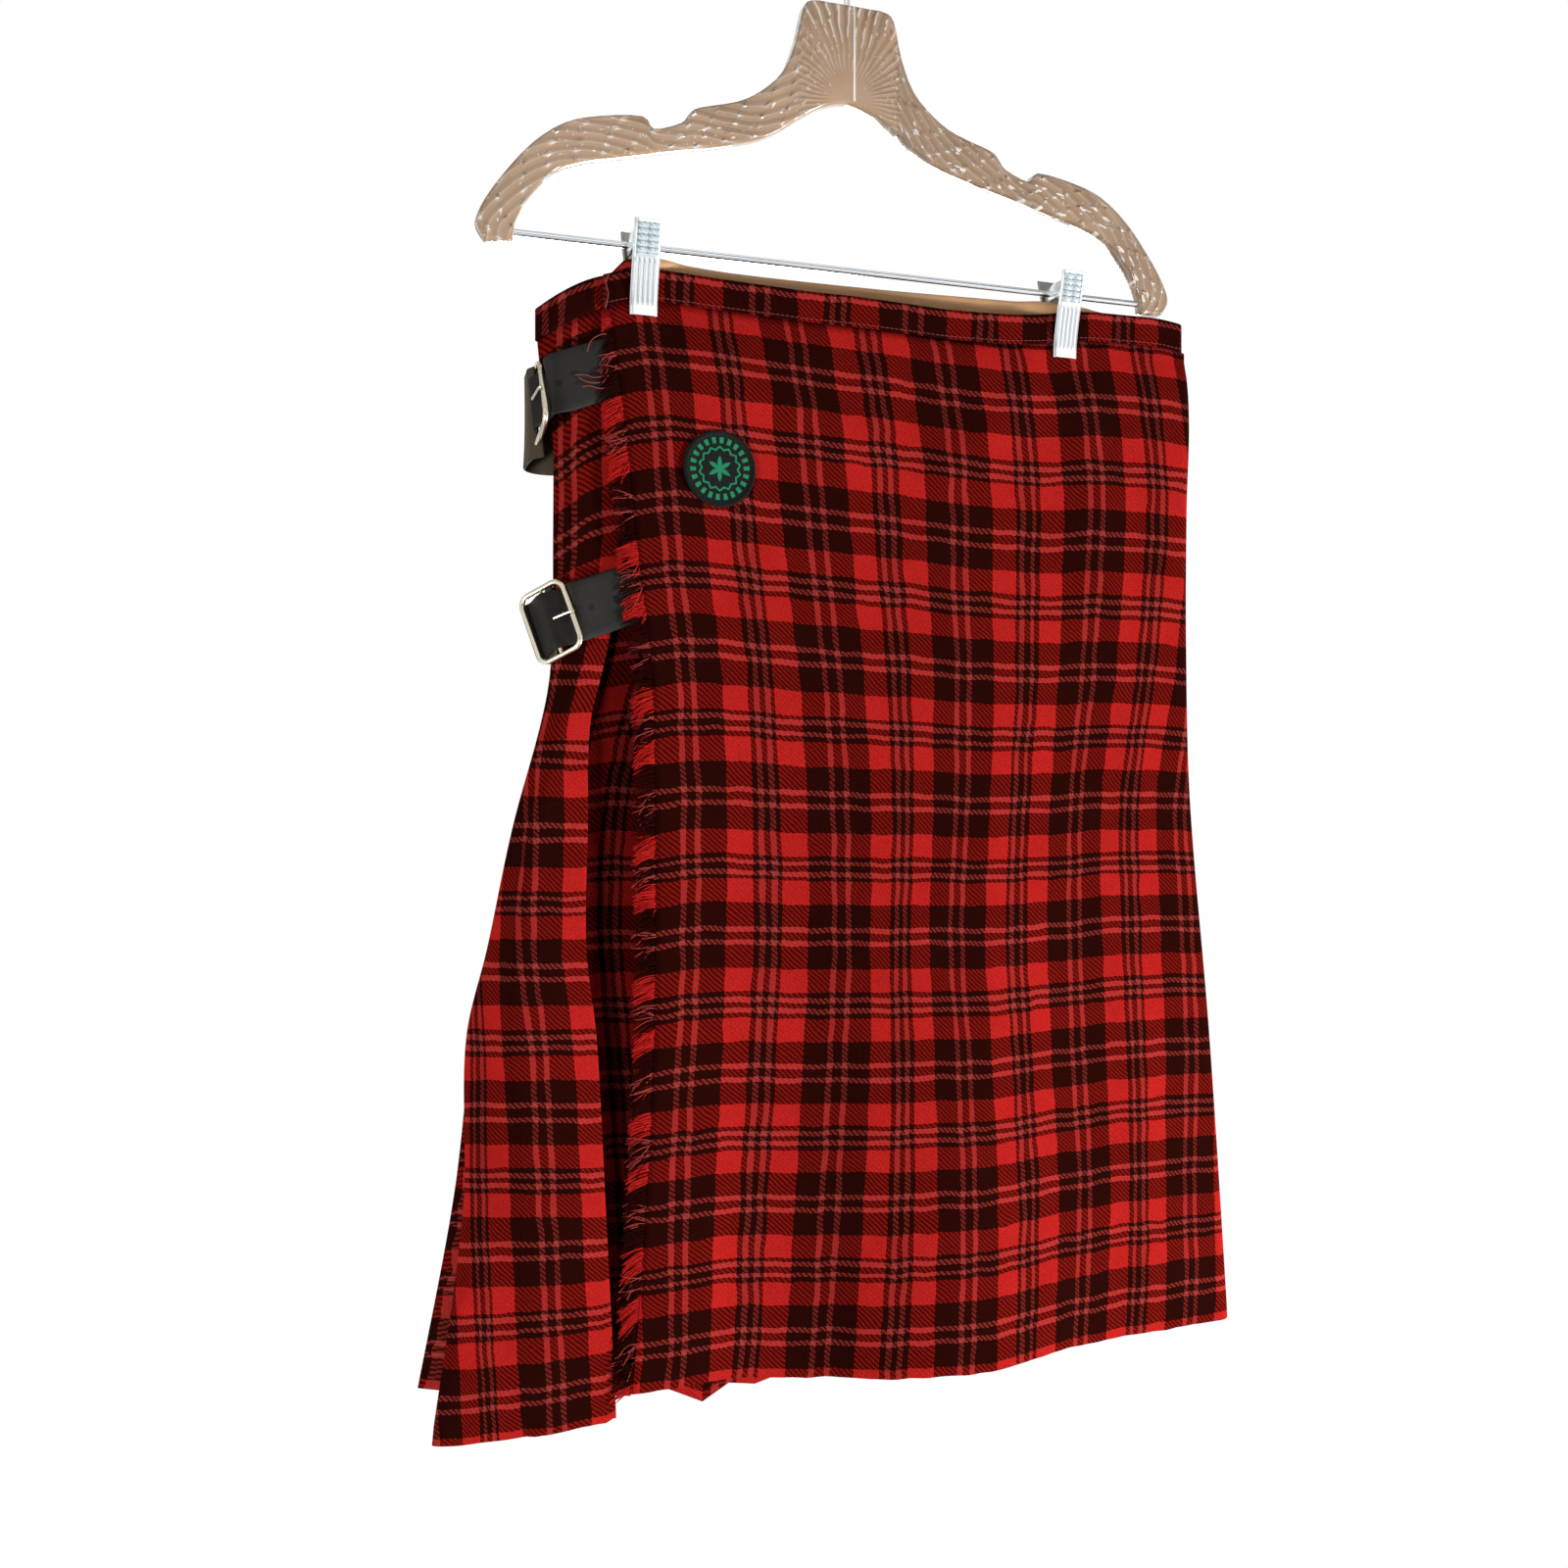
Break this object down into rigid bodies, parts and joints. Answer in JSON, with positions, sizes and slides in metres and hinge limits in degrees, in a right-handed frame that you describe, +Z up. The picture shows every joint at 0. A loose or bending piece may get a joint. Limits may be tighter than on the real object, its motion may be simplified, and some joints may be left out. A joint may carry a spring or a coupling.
{
  "type": "scottish kilt on clip hanger",
  "caption": "Wrapped red and black tartan kilt with a fringed apron, knife-pleated back and buckled side straps, clipped to a clear trouser hanger with a metal hook.",
  "frame": {"origin": "the saddle of the hook, where the underside of its top rests on a rail", "axes": "+X along the hanger towards the wearer's left hip, -Y towards the kilt's front, +Z up"},
  "size_m": [0.5088, 0.0882, 0.8769],
  "materials": {
    "tartan": "red and black check, brushed twill",
    "facing_tape": "plain tan lining tape",
    "patch_cloth": "black embroidered cloth",
    "strap_leather": "smooth charcoal",
    "buckle_metal": "pale nickel plating",
    "chrome": "bright plating",
    "clear_plastic": "clear moulded, cut-glass pattern"
  },
  "bodies": {
    "root": {"apron_fringe": "tartan", "buckle_lower": "buckle_metal", "buckle_tab_lower": "strap_leather", "buckle_tab_upper": "strap_leather", "buckle_tongue_lower": "buckle_metal", "buckle_tongue_upper": "buckle_metal", "buckle_upper": "buckle_metal", "clip_back_plate_left_hip": "chrome", "clip_back_plate_right_hip": "chrome", "clip_bar": "chrome", "clip_front_plate_left_hip": "chrome", "clip_front_plate_right_hip": "chrome", "clip_spring_left_hip": "chrome", "clip_spring_right_hip": "chrome", "hanger_body": "clear_plastic", "hook": "chrome", "over_apron": "tartan", "pleated_back_left_hip": "tartan", "pleated_back_right_hip": "tartan", "round_patch": "patch_cloth", "side_pleat": "tartan", "strap_lower": "strap_leather", "strap_upper": "strap_leather", "under_apron": "tartan", "waist_facing": "facing_tape", "waistband_back": "tartan", "waistband_front": "tartan"}
  },
  "joints": []
}
